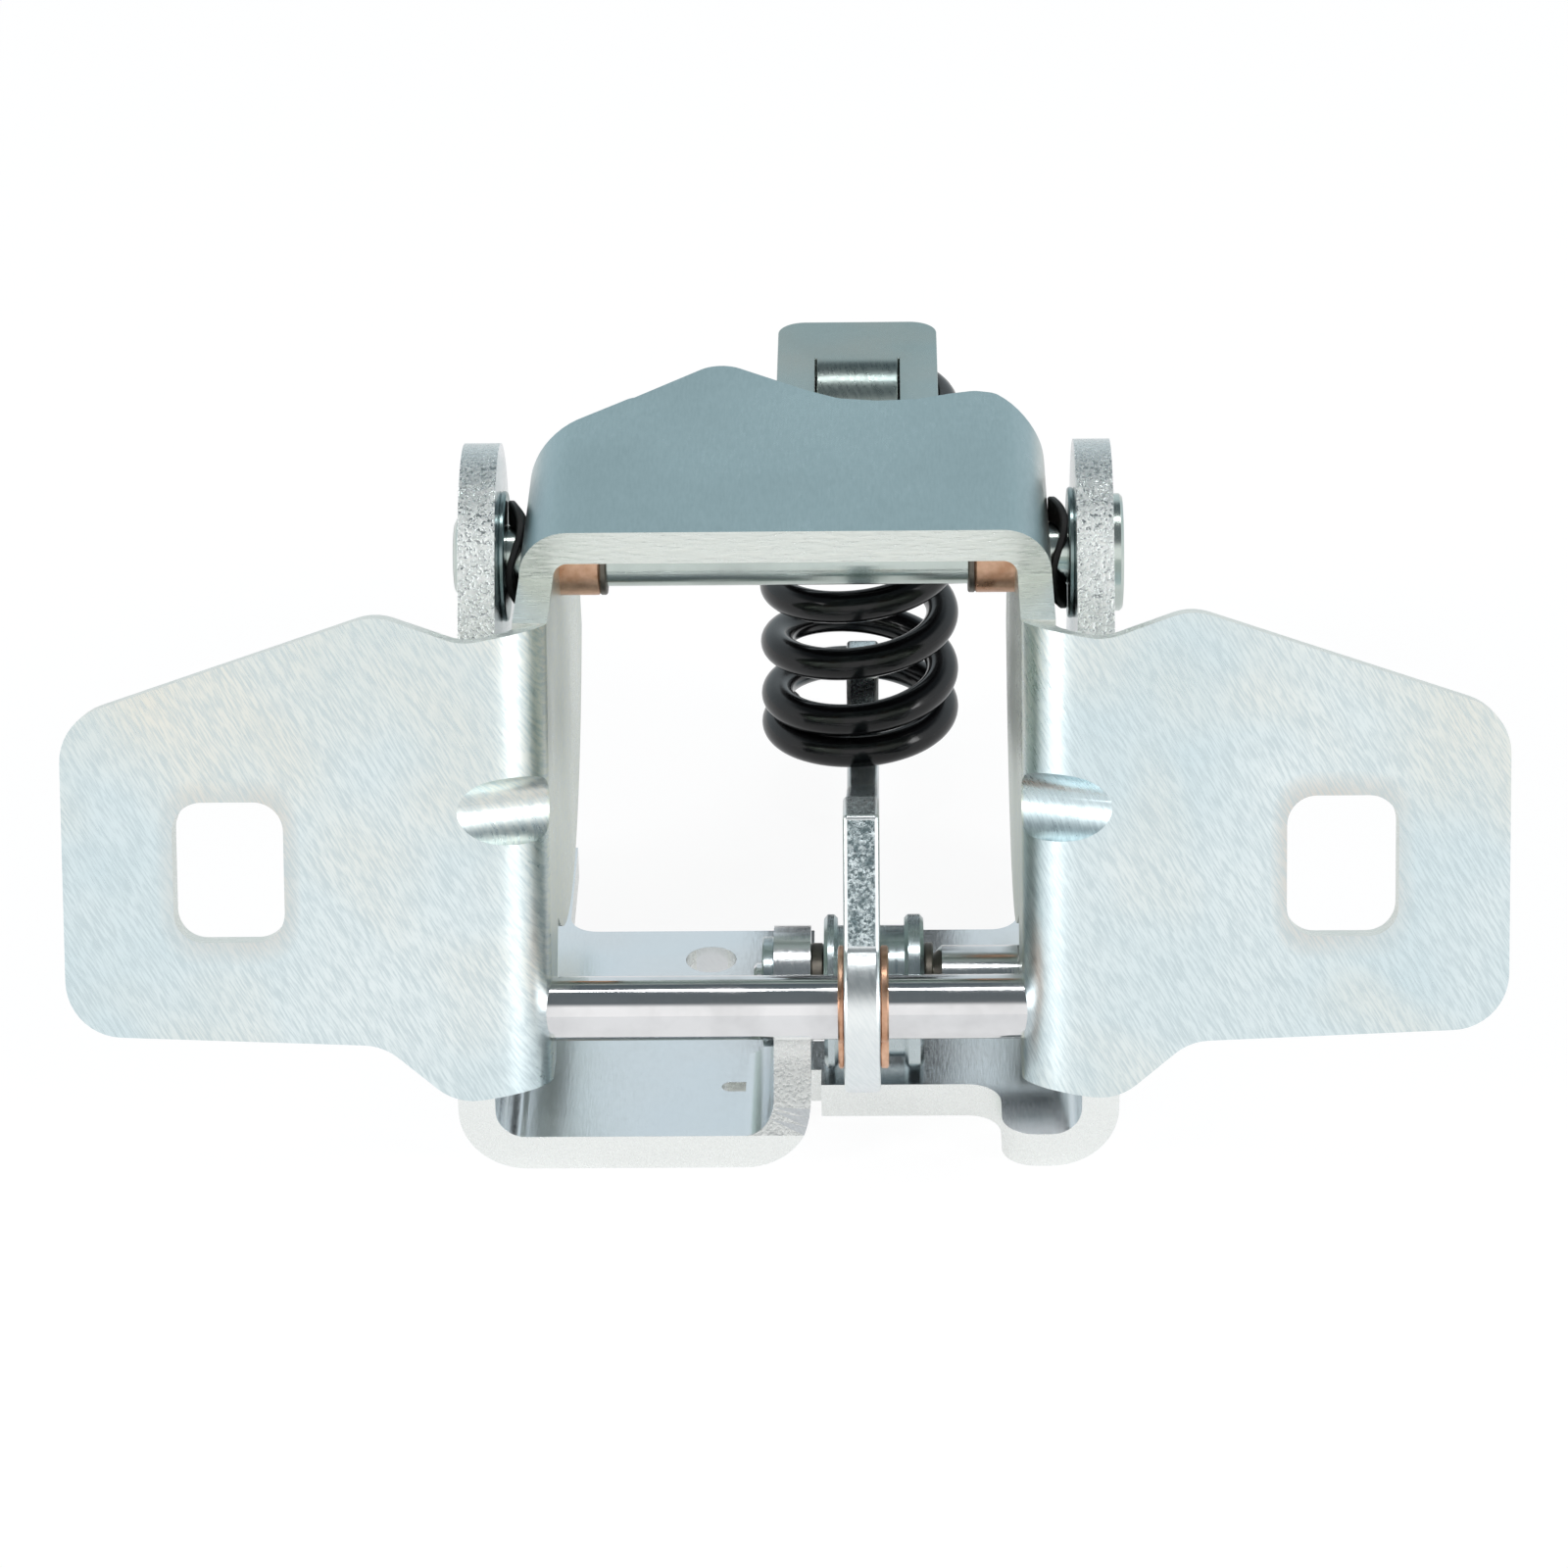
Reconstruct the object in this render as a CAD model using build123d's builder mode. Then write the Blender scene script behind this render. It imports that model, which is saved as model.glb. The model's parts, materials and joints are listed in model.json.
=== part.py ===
from build123d import *
from math import atan2, cos, degrees, hypot, radians, sin
import os

# Truck door hinge with its spring-loaded check, in millimetres.
# X runs along the hinge pin, Y runs away from the winged leaf, and Z stands on the channel's
# seating face. The origin lies on that face, straight below the middle of the hinge pin.

# Channel leaf, as wide inside as the winged leaf and the washers between them
channel_sheet = 5.0
channel_bend = 4.0
floor_front = 53.2
floor_rear = 2.4
ear_rear = 27.5
ear_foot = 12.0
ear_radius = 15.6
rear_notch_margin = 7.2
notch_corner = 4.0
front_cut_margin = 10.6
front_cut_depth = 13.0
front_cut_corner = 4.5
seat_hole_diameter = 7.2
seat_hole_x = -11.6
seat_hole_y = -5.8
pilot_slot_length = 5.4
pilot_slot_width = 2.4
pilot_slot_x = -6.6
pilot_slot_y = -40.5

# Hinge pin, its bushes and washers
pin_height = 66.0
pin_diameter = 8.4
pin_head_diameter = 16.2
pin_head_height = 1.7
peened_diameter = 12.4
peened_height = 1.5
head_edge = 0.5
bush_wall = 1.15
bush_inset = 5.4
pin_end_play = 0.2
seal_width = 1.0
thrust_washer_diameter = 15.4
thrust_washer_thickness = 2.6
ear_washer_diameter = 18.0
ear_washer_thickness = 0.8

# Winged leaf
leaf_width = 71.6
leaf_sheet = 4.6
roof_bend = 2.0
roof_above_pin = 12.3
roof_front = 18.5
roof_side_rear_left = 11.0
roof_side_rear_right = 17.5
roof_peak = (-10.0, 38.0)
roof_dip = (12.5, 24.0)
roof_dip_left = (2.5, 27.8)
roof_dip_right = (20.5, 25.2)
roof_bump = (27.5, 28.6)
roof_corner = 4.0
wing_lean = 20.0
wing_span = 189.4
wing_bend = 4.4
wing_height = 43.8
wing_peak = (53.3, 57.6)
wing_inner_top = 55.4
wing_shoulder = (42.0, 53.6)
wing_low_outer = 2.2
wing_low_inner = (53.0, 0.6)
wing_toe = (43.5, -7.2)
wing_inner_low = -5.6
wing_corner = 7.5
wing_hole_width = 14.6
wing_hole_height = 18.6
wing_hole_corner = 3.9
wing_hole_pitch = 145.8
wing_hole_above = 23.8
cheek_clearance = 3.1
cheek_sweep_front = 42.0
cheek_sweep_rear = 53.0
cheek_rear = 33.0
boss_radius = 9.0
dart_radius = 4.6
dart_reach = 11.6
dart_return = 8.9
dart_rib_radius = 5.5
dart_length = 15.0
dart_above = 31.5

# Cross pin of the winged leaf
cross_pin_y = -51.0
cross_pin_z = 23.7
cross_pin_diameter = 8.6
cross_pin_proud = 0.9
cross_pin_to_face = 10.6

# Roller on the channel leaf
roller_y = -34.0
roller_z = 16.2
roller_core_diameter = 18.0
roller_flange_diameter = 21.0
roller_flange = 1.85
roller_groove = 9.05
roller_left_x = 4.8
roller_right_flange = 2.6
roller_play = 0.1
axle_diameter = 7.8
axle_shoulder_diameter = 12.4
axle_head_diameter = 12.4
axle_chamfer = 1.2
lug_right_x = 3.0
lug_radius = 9.0
lug_fold = 17.0
lug_relief = 1.25
clip_diameter = 15.0
clip_thickness = 1.6
roller_washer_diameter = 13.2
roller_washer_thickness = 1.2
axle_tail = 1.2

# Check arm and its bush
arm_x = 10.0
arm_thickness = 4.8
arm_lobe_radius = 11.4
arm_travel = 38.0
arm_lift = 5.0
arm_slot_width = 15.0
arm_slot_front = 28.0
arm_bush_wall = 1.2
arm_flange_diameter = 16.4
arm_flange_left = 0.8
arm_flange_right = 1.1
arm_shoulder_z = 8.4
arm_nose_height = 13.6
arm_nose_width = 12.0
arm_front_reach = 9.0
arm_top_rise = 26.8
arm_top_slope = 2.0
arm_top_length = 9.0
arm_neck_rise = 2.8
arm_neck_y = 2.0
arm_throat_rise = 2.4
arm_throat_length = 4.0
arm_top_back = 4.0
arm_heel = 2.6
arm_spare = 0.8

# Check spring and its seat
spring_x = 9.6
spring_y = 55.5
spring_diameter = 29.7
spring_wire = 4.8
spring_turns = 5.2
seat_width = 23.4
seat_sheet = 3.0
seat_rear = 70.4
seat_front = 4.5
seat_step = 3.3
seat_step_y = 20.0
seat_slope = 6.0
seat_lead = 1.0
seat_corner = 4.0
tongue_width = 11.8
tongue_bend = 5.0
tongue_drop = 12.0
tongue_root = 57.0
tongue_window = 16.0
tongue_overlap = 1.0

# Fits
running = 0.05
seated = 0.02
cam_gap = 0.3
spring_gap = 0.1
tongue_gap = 0.3

half_leaf = leaf_width / 2
thrust_start = half_leaf + running
thrust_end = thrust_start + thrust_washer_thickness
ear_inside = thrust_end + running + ear_washer_thickness
half_channel = ear_inside + channel_sheet
channel_width = 2 * half_channel
rear_notch_width = 2 * (ear_inside - rear_notch_margin)
cheek_inside = half_leaf - leaf_sheet
pin_radius = pin_diameter / 2
bush_radius = pin_radius + running + bush_wall
cross_radius = cross_pin_diameter / 2
wing_bend_outer = wing_bend + leaf_sheet
lug_left_x = lug_right_x - channel_sheet
bend_outer = channel_bend + channel_sheet
roof_top = pin_height + roof_above_pin
roof_under = roof_top - leaf_sheet
bend_tangent = roof_top - roof_bend - leaf_sheet

# Hinge pin seen from the side, and the cross pin and roller round it
pin_axis = (0, pin_height)
cross_axis = (cross_pin_y, cross_pin_z)
roller_axis = (roller_y, roller_z)
swing_radius = hypot(roller_y, roller_z - pin_height)
cheek_sweep = swing_radius - axle_shoulder_diameter / 2 - cheek_clearance

# Wing plane: its foot lies in front of the cross pin by the bend, and it leans back by wing_lean
up_y = sin(radians(wing_lean))
up_z = cos(radians(wing_lean))
wing_foot = (cross_pin_y - cross_pin_to_face, cross_pin_z)
wing_face = Plane(origin=(0, *wing_foot), x_dir=(1, 0, 0), z_dir=(0, -up_z, up_y))


def behind_wing(above, depth):
    """Side-view point that lies `above` the wing foot along the wing, and `depth` behind its face."""
    y = wing_foot[0] + above * up_y + depth * up_z
    z = wing_foot[1] + above * up_z - depth * up_y
    return (y, z)


def disc(x_start, x_end, radius, centre):
    """Cylinder along X between two places, centred on a side-view point."""
    with BuildSketch(Plane.YZ.offset(x_start)) as face:
        with Locations(centre):
            Circle(radius)
    extrude(face.sketch, amount=x_end - x_start)


def bore(radius, centre):
    """Hole along X through everything, centred on a side-view point."""
    with BuildSketch(Plane.YZ) as face:
        with Locations(centre):
            Circle(radius)
    extrude(face.sketch, amount=channel_width, both=True, mode=Mode.SUBTRACT)


# Channel leaf: a pressed U with two rounded ears, notched at the back for the check spring
with BuildPart() as channel:
    tall = pin_height + ear_radius
    with BuildSketch(Plane.XZ.offset(-ear_rear)):
        with Locations((0, tall / 2)):
            outer_u = Rectangle(channel_width, tall)
        fillet(outer_u.vertices().group_by(Axis.Y)[0], bend_outer)
        with BuildSketch(Plane.XZ.offset(-ear_rear), mode=Mode.PRIVATE) as hollow_u:
            with Locations((0, channel_sheet + tall / 2)):
                inner_u = Rectangle(2 * ear_inside, tall)
            fillet(inner_u.vertices().group_by(Axis.Y)[0], channel_bend)
        add(hollow_u.sketch_local, mode=Mode.SUBTRACT)
    extrude(amount=ear_rear + floor_front)
    with BuildSketch(Plane.YZ):
        with Locations(pin_axis):
            Circle(ear_radius)
        with Locations(((ear_rear - floor_front) / 2, ear_foot / 2)):
            Rectangle(ear_rear + floor_front, ear_foot)
        make_hull()
    extrude(amount=channel_width, both=True, mode=Mode.INTERSECT)
    # Rear notch for the spring, slot for the check arm, and the cut that frees the lug
    with BuildSketch(Plane.XY):
        with Locations((0, (floor_rear + ear_rear) / 2 + notch_corner)):
            rear_notch = Rectangle(rear_notch_width, ear_rear - floor_rear + 2 * notch_corner)
        fillet(rear_notch.vertices().group_by(Axis.Y)[0], notch_corner)
        with Locations((lug_right_x + arm_slot_width / 2, (floor_rear - arm_slot_front) / 2)):
            Rectangle(arm_slot_width, floor_rear + arm_slot_front + 1)
        fold_start = lug_left_x - channel_bend
        cut_end = ear_inside - front_cut_margin
        cut_rear = front_cut_depth - floor_front
        with BuildSketch(mode=Mode.PRIVATE) as front_cut:
            with Locations((fold_start, cut_rear)):
                Rectangle(cut_end - fold_start, 2 * front_cut_depth, align=(Align.MIN, Align.MAX))
            cut_corner = front_cut.vertices().group_by(Axis.Y)[-1].sort_by(Axis.X)[-1]
            fillet(cut_corner, front_cut_corner)
        add(front_cut.sketch)
        with Locations((fold_start, -floor_front)):
            Rectangle(bend_outer + lug_relief, lug_fold, align=(Align.MIN, Align.MIN))
    extrude(amount=channel_sheet, mode=Mode.SUBTRACT)
    # Foot to the right of the front cut, whose corner is rounded as the blank's was
    foot_corner = (
        channel.edges()
        .filter_by(Axis.Z)
        .filter_by(lambda e: abs(e.center().X - cut_end) < running)
        .sort_by(Axis.Y)[0]
    )
    fillet(foot_corner, front_cut_corner)
    # Lug folded up from the floor, which holds the inner end of the roller's axle
    with BuildPart(mode=Mode.PRIVATE) as lug:
        with BuildSketch(Plane.XZ.offset(-roller_y - lug_radius)):
            with Locations((lug_left_x - channel_bend, 0)):
                outer_l = Rectangle(bend_outer, 2 * roller_z, align=(Align.MIN, Align.MIN))
            fillet(outer_l.vertices().group_by(Axis.Y)[0].sort_by(Axis.X)[-1], bend_outer - 0.01)
            with BuildSketch(Plane.XZ, mode=Mode.PRIVATE) as hollow_l:
                with Locations((lug_left_x, channel_sheet)):
                    inner_l = Rectangle(
                        2 * channel_bend, 2 * roller_z, align=(Align.MAX, Align.MIN)
                    )
                fillet(inner_l.vertices().group_by(Axis.Y)[0].sort_by(Axis.X)[-1], channel_bend)
            add(hollow_l.sketch_local, mode=Mode.SUBTRACT)
        extrude(amount=floor_front + roller_y + lug_radius)
        with BuildSketch(Plane.YZ):
            with Locations(roller_axis):
                Circle(lug_radius)
            with Locations((lug_fold / 2 - floor_front, channel_sheet / 2)):
                Rectangle(lug_fold, channel_sheet)
            make_hull()
        extrude(amount=channel_width, both=True, mode=Mode.INTERSECT)
    add(lug.part)
    bore(pin_radius + seated, pin_axis)
    with BuildSketch(Plane.YZ.offset(lug_left_x - 1)):
        with Locations(roller_axis):
            Circle(axle_diameter / 2 + seated)
    extrude(amount=channel_width, mode=Mode.SUBTRACT)
    with BuildSketch(Plane.XY):
        with Locations((seat_hole_x, seat_hole_y)):
            Circle(seat_hole_diameter / 2)
        with Locations((pilot_slot_x, pilot_slot_y)):
            SlotOverall(pilot_slot_length, pilot_slot_width)
    extrude(amount=channel_sheet, mode=Mode.SUBTRACT)
channel.part.label = "channel_leaf"

# Hinge pin: headed on the right, peened over on the left
with BuildPart() as hinge_pin:
    disc(-half_channel - pin_end_play, half_channel + pin_end_play, pin_radius, pin_axis)
    disc(half_channel, half_channel + pin_head_height, pin_head_diameter / 2, pin_axis)
    disc(-half_channel - peened_height, -half_channel, peened_diameter / 2, pin_axis)
    fillet(hinge_pin.edges().filter_by(GeomType.CIRCLE).group_by(Axis.X)[-1], head_edge)
    fillet(hinge_pin.edges().filter_by(GeomType.CIRCLE).group_by(Axis.X)[0], 2 * head_edge)
hinge_pin.part.label = "hinge_pin"

# Winged leaf: a hat-shaped pressing with a roof over the hinge pin, two cheeks and two wings
with BuildPart() as wing:
    section = Plane(origin=(0, *behind_wing(-20, 0)), x_dir=(1, 0, 0), z_dir=(0, up_y, up_z))
    with BuildSketch(section):
        with Locations((cheek_inside, 0)):
            face_side = Rectangle(
                wing_span / 2 - cheek_inside, wing_bend_outer, align=(Align.MIN, Align.MIN)
            )
        inner_front = face_side.vertices().sort_by(Axis.X)[:2].sort_by(Axis.Y)[0]
        fillet(inner_front, wing_bend_outer - 0.01)
        with BuildSketch(section, mode=Mode.PRIVATE) as back_side:
            with Locations((half_leaf, leaf_sheet)):
                rear_block = Rectangle(
                    wing_span / 2, wing_bend_outer, align=(Align.MIN, Align.MIN)
                )
            inner_rear = rear_block.vertices().sort_by(Axis.X)[:2].sort_by(Axis.Y)[0]
            fillet(inner_rear, wing_bend)
        add(back_side.sketch_local, mode=Mode.SUBTRACT)
    extrude(amount=100)
    with BuildSketch(wing_face):
        with BuildLine():
            Polyline(
                (cheek_inside, wing_inner_top),
                wing_shoulder,
                wing_peak,
                (wing_span / 2, wing_height),
                (wing_span / 2, wing_low_outer),
                wing_low_inner,
                wing_toe,
                (cheek_inside, wing_inner_low),
                close=True,
            )
        outline = make_face()
        rounded = outline.vertices().filter_by(lambda v: v.X > cheek_inside + 1)
        fillet(rounded, wing_corner)
        with Locations((wing_hole_pitch / 2, wing_hole_above)):
            RectangleRounded(
                wing_hole_width, wing_hole_height, wing_hole_corner, mode=Mode.SUBTRACT
            )
    extrude(amount=-wing_bend_outer, mode=Mode.INTERSECT)
    # Dart pressed across the bend to stiffen it: a rib behind and a lens-shaped hollow in front
    half_turn = sin(radians(45))
    rib_in = wing_bend_outer - wing_bend * half_turn
    rib = Plane(
        origin=(cheek_inside + rib_in, *behind_wing(dart_above, rib_in)),
        x_dir=(0, up_y, up_z),
        z_dir=(half_turn, -half_turn * up_z, half_turn * up_y),
    )
    with BuildSketch(rib):
        Circle(dart_rib_radius)
        Rectangle(
            2 * dart_rib_radius,
            dart_rib_radius,
            align=(Align.CENTER, Align.MIN),
            mode=Mode.SUBTRACT,
        )
    extrude(amount=dart_length / 2, both=True)
    # The hollow's deepest line runs from the wing's face to the cheek's inner face
    dart_span = hypot(dart_reach, dart_return)
    along_x = dart_reach / dart_span
    along_depth = dart_return / dart_span
    lens = Plane(
        origin=(cheek_inside + dart_reach, *behind_wing(dart_above, 0)),
        x_dir=(0, up_y, up_z),
        z_dir=(-along_x, along_depth * up_z, -along_depth * up_y),
    )
    with BuildSketch(lens):
        with Locations((0, -dart_radius)):
            Circle(dart_radius)
    extrude(amount=2 * dart_span, both=True, mode=Mode.SUBTRACT)

with BuildPart() as winged_leaf:
    # Roof: the hat section, trimmed to the roof's plan
    with BuildSketch(Plane.XZ.offset(roof_front)):
        with Locations((0, bend_tangent)):
            hat_out = Rectangle(
                leaf_width, roof_top - bend_tangent, align=(Align.CENTER, Align.MIN)
            )
        fillet(hat_out.vertices().group_by(Axis.Y)[-1], roof_bend + leaf_sheet - 0.01)
        with BuildSketch(Plane.XZ.offset(roof_front), mode=Mode.PRIVATE) as hat_hollow:
            with Locations((0, roof_under)):
                hat_in = Rectangle(
                    2 * cheek_inside, leaf_width, align=(Align.CENTER, Align.MAX)
                )
            fillet(hat_in.vertices().group_by(Axis.Y)[-1], roof_bend)
        add(hat_hollow.sketch_local, mode=Mode.SUBTRACT)
    extrude(amount=-(roof_front + 2 * roof_peak[1]))
    with BuildSketch(Plane.XY.offset(bend_tangent)):
        with BuildLine():
            side_rear_left = (-half_leaf, roof_side_rear_left)
            side_rear_right = (half_leaf, roof_side_rear_right)
            Polyline(
                roof_dip_right,
                roof_bump,
                side_rear_right,
                (half_leaf, -roof_front),
                (-half_leaf, -roof_front),
                side_rear_left,
                roof_peak,
                roof_dip_left,
            )
            ThreePointArc(roof_dip_left, roof_dip, roof_dip_right)
        plan = make_face()
        behind = plan.vertices().filter_by(lambda v: v.Y > roof_side_rear_left - seated)
        fillet(behind.filter_by(lambda v: abs(v.X) > abs(roof_peak[0]) / 2), roof_corner)
    extrude(amount=roof_top, mode=Mode.INTERSECT)
    # Cheeks: side plates that swing inside the channel and carry both pins
    with BuildSketch(Plane.YZ.offset(cheek_inside)) as cheek_profile:
        with BuildLine():
            sweep_start = (
                -cheek_sweep * sin(radians(cheek_sweep_front)),
                pin_height - cheek_sweep * cos(radians(cheek_sweep_front)),
            )
            sweep_middle = (0, pin_height - cheek_sweep)
            sweep_end = (
                cheek_sweep * sin(radians(cheek_sweep_rear)),
                pin_height - cheek_sweep * cos(radians(cheek_sweep_rear)),
            )
            Polyline(
                sweep_end,
                (cheek_rear, pin_height),
                (roof_side_rear_left - roof_corner, bend_tangent),
                (-roof_front, bend_tangent),
                behind_wing(wing_inner_top, wing_bend_outer),
                behind_wing(wing_inner_low, wing_bend_outer),
                (cross_pin_y + 2, cross_pin_z - boss_radius),
                (cross_pin_y + boss_radius, cross_pin_z - 3),
                sweep_start,
            )
            ThreePointArc(sweep_start, sweep_middle, sweep_end)
        make_face()
    extrude(amount=leaf_sheet)
    mirror(about=Plane.YZ)
    add(wing.part)
    mirror(wing.part, about=Plane.YZ)
    bore(bush_radius + seated, pin_axis)
    bore(cross_radius + seated, cross_axis)
winged_leaf.part.label = "winged_leaf"


# Check arm: a flat plate on the cross pin that rides in the roller's groove and lifts the spring
with BuildPart() as check_arm:
    with BuildSketch(Plane.YZ.offset(arm_x - arm_thickness / 2)) as arm_profile:
        with Locations(cross_axis):
            Circle(arm_lobe_radius)
        arm_top_y = cross_pin_y + arm_top_back
        arm_top_z = cross_pin_z + arm_top_rise
        nose_front = spring_y - arm_nose_width / 2
        nose_rear = spring_y + arm_nose_width / 2
        nose_top = arm_shoulder_z + arm_nose_height
        shoulder_front = spring_y - spring_diameter / 2 - 1
        shoulder_rear = spring_y + spring_diameter / 2 + 2
        with BuildLine():
            Polyline(
                (cross_pin_y - arm_front_reach, cross_pin_z),
                (arm_top_y, arm_top_z),
                (arm_top_y + arm_top_length, arm_top_z - arm_top_slope),
                (arm_neck_y, cross_pin_z + arm_neck_rise),
                (shoulder_front - arm_throat_length, arm_shoulder_z + arm_throat_rise),
                (shoulder_front, arm_shoulder_z),
                (nose_front, arm_shoulder_z),
                (nose_front, nose_top),
                (nose_rear, nose_top),
                (nose_rear, arm_shoulder_z),
                (shoulder_rear, arm_shoulder_z),
                (shoulder_rear, arm_heel),
                (spring_y - 28, arm_heel - 1),
                (spring_y - 40, arm_heel + 1),
                (roller_y, roller_z),
                (cross_pin_y, cross_pin_z - 6),
                close=True,
            )
        make_face()
        # The roller's path, which leaves the arm its cam edge
        closed_angle = degrees(atan2(roller_z - pin_height, roller_y))
        groove_width = roller_core_diameter + 2 * cam_gap
        roller_reach = hypot(roller_y - cross_pin_y, roller_z - cross_pin_z)
        roller_angle = degrees(atan2(roller_z - cross_pin_z, roller_y - cross_pin_y))
        with BuildLine(mode=Mode.PRIVATE) as opening_path:
            CenterArc(pin_axis, swing_radius, closed_angle, arm_travel + arm_spare)
        with BuildLine(mode=Mode.PRIVATE) as lifting_path:
            CenterArc(cross_axis, roller_reach, roller_angle, -arm_lift - arm_spare)
        for path in (opening_path, lifting_path):
            groove = SlotArc(path.edges()[0], groove_width, mode=Mode.PRIVATE)
            add(groove, mode=Mode.SUBTRACT)
    extrude(arm_profile.sketch.faces().sort_by(SortBy.AREA)[-1], amount=arm_thickness)
    bore(cross_radius + running + arm_bush_wall + seated, cross_axis)
check_arm.part.label = "check_arm"

# Bronze bush of the arm, flared over both faces of the plate
with BuildPart() as arm_bush:
    arm_left = arm_x - arm_thickness / 2
    arm_right = arm_x + arm_thickness / 2
    disc(arm_left, arm_right, cross_radius + running + arm_bush_wall, cross_axis)
    disc(arm_left - arm_flange_left, arm_left, arm_flange_diameter / 2, cross_axis)
    disc(arm_right, arm_right + arm_flange_right, arm_flange_diameter / 2, cross_axis)
    bore(cross_radius + running, cross_axis)
arm_bush.part.label = "arm_bush"

# Cross pin: a plain rod peened over in both cheeks
with BuildPart() as cross_pin:
    disc(-half_leaf - cross_pin_proud, half_leaf + cross_pin_proud, cross_radius, cross_axis)
    chamfer(cross_pin.edges().filter_by(GeomType.CIRCLE), head_edge)
cross_pin.part.label = "cross_pin"

# Roller: a grooved spool that turns on its axle
roller_bore = axle_diameter / 2 + running
groove_left = roller_left_x + roller_flange
groove_right = groove_left + roller_groove
roller_right_x = groove_right + roller_right_flange
with BuildPart() as roller:
    disc(roller_left_x, groove_left, roller_flange_diameter / 2, roller_axis)
    disc(groove_left, groove_right, roller_core_diameter / 2, roller_axis)
    disc(groove_right, roller_right_x, roller_flange_diameter / 2, roller_axis)
    rims = roller.edges().filter_by(GeomType.CIRCLE)
    chamfer(rims.filter_by(lambda e: e.radius > roller_core_diameter / 2 + 0.1), head_edge)
    bore(roller_bore, roller_axis)
roller.part.label = "roller"

# Axle: a thin journal through the lug and roller, a thick shoulder, and a stub in the right ear
with BuildPart() as axle:
    shoulder_start = roller_right_x + roller_play + roller_washer_thickness
    disc(lug_left_x - clip_thickness - axle_tail, shoulder_start, axle_diameter / 2, roller_axis)
    disc(shoulder_start, ear_inside, axle_shoulder_diameter / 2, roller_axis)
    shoulder_rims = axle.edges().filter_by(GeomType.CIRCLE)
    chamfer(
        shoulder_rims.filter_by(
            lambda e: e.radius > axle_diameter / 2 + 1 and abs(e.center().X - shoulder_start) < 0.1
        ),
        axle_chamfer,
    )
    disc(ear_inside, half_channel, axle_diameter / 2, roller_axis)
    disc(half_channel, half_channel + peened_height, axle_head_diameter / 2, roller_axis)
    fillet(axle.edges().filter_by(GeomType.CIRCLE).group_by(Axis.X)[-1], 2 * head_edge)
axle.part.label = "roller_axle"

# Flat rings: name, left face, right face, hole radius, outer radius and centre of each
pin_hole = pin_radius + running
bush_end = cheek_inside - bush_inset
axle_hole = axle_diameter / 2 + running
rings = []
for name, first, last, diameter in (
    ("axle_clip", lug_left_x - clip_thickness, lug_left_x, clip_diameter),
    ("roller_washer_left", lug_right_x, roller_left_x - roller_play, roller_washer_diameter),
    ("roller_washer_right", roller_right_x + roller_play, shoulder_start, roller_washer_diameter),
):
    rings.append((name, first, last, axle_hole, diameter / 2, roller_axis))
for side, sign in (("left", -1), ("right", 1)):
    places = (
        ("pin_bush", bush_end, half_leaf, bush_radius),
        ("pin_seal", bush_end - seal_width, bush_end, bush_radius),
        ("thrust_washer", thrust_start, thrust_end, thrust_washer_diameter / 2),
        ("ear_washer", ear_inside - ear_washer_thickness, ear_inside, ear_washer_diameter / 2),
    )
    for name, near, far, radius in places:
        first, last = sorted((sign * near, sign * far))
        rings.append((f"{name}_{side}", first, last, pin_hole, radius, pin_axis))

turned = []
for name, first, last, hole, radius, centre in rings:
    with BuildPart() as ring:
        disc(first, last, radius, centre)
        bore(hole, centre)
    ring.part.label = name
    turned.append(ring)

# Check spring: round black wire, closed at both ends, standing on the arm's shoulders
spring_radius = (spring_diameter - spring_wire) / 2
wire_radius = spring_wire / 2
seat_top = roof_under - seat_step
seat_under = seat_top - seat_sheet
spring_foot = arm_shoulder_z + spring_gap + wire_radius
spring_rise = round(seat_under - spring_gap - wire_radius - spring_foot, 3)
with BuildPart() as spring:
    centre = (spring_x, spring_y, spring_foot)
    coil = Helix(spring_rise / spring_turns, spring_rise, spring_radius, center=centre)
    with BuildSketch(Plane(origin=coil @ 0, z_dir=coil % 0)) as wire:
        Circle(wire_radius)
    sweep(wire.sketch, path=coil)
    for height in (spring_foot, spring_foot + spring_rise):
        with Locations((spring_x, spring_y, height)):
            Torus(spring_radius, wire_radius)
spring.part.label = "check_spring"

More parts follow.
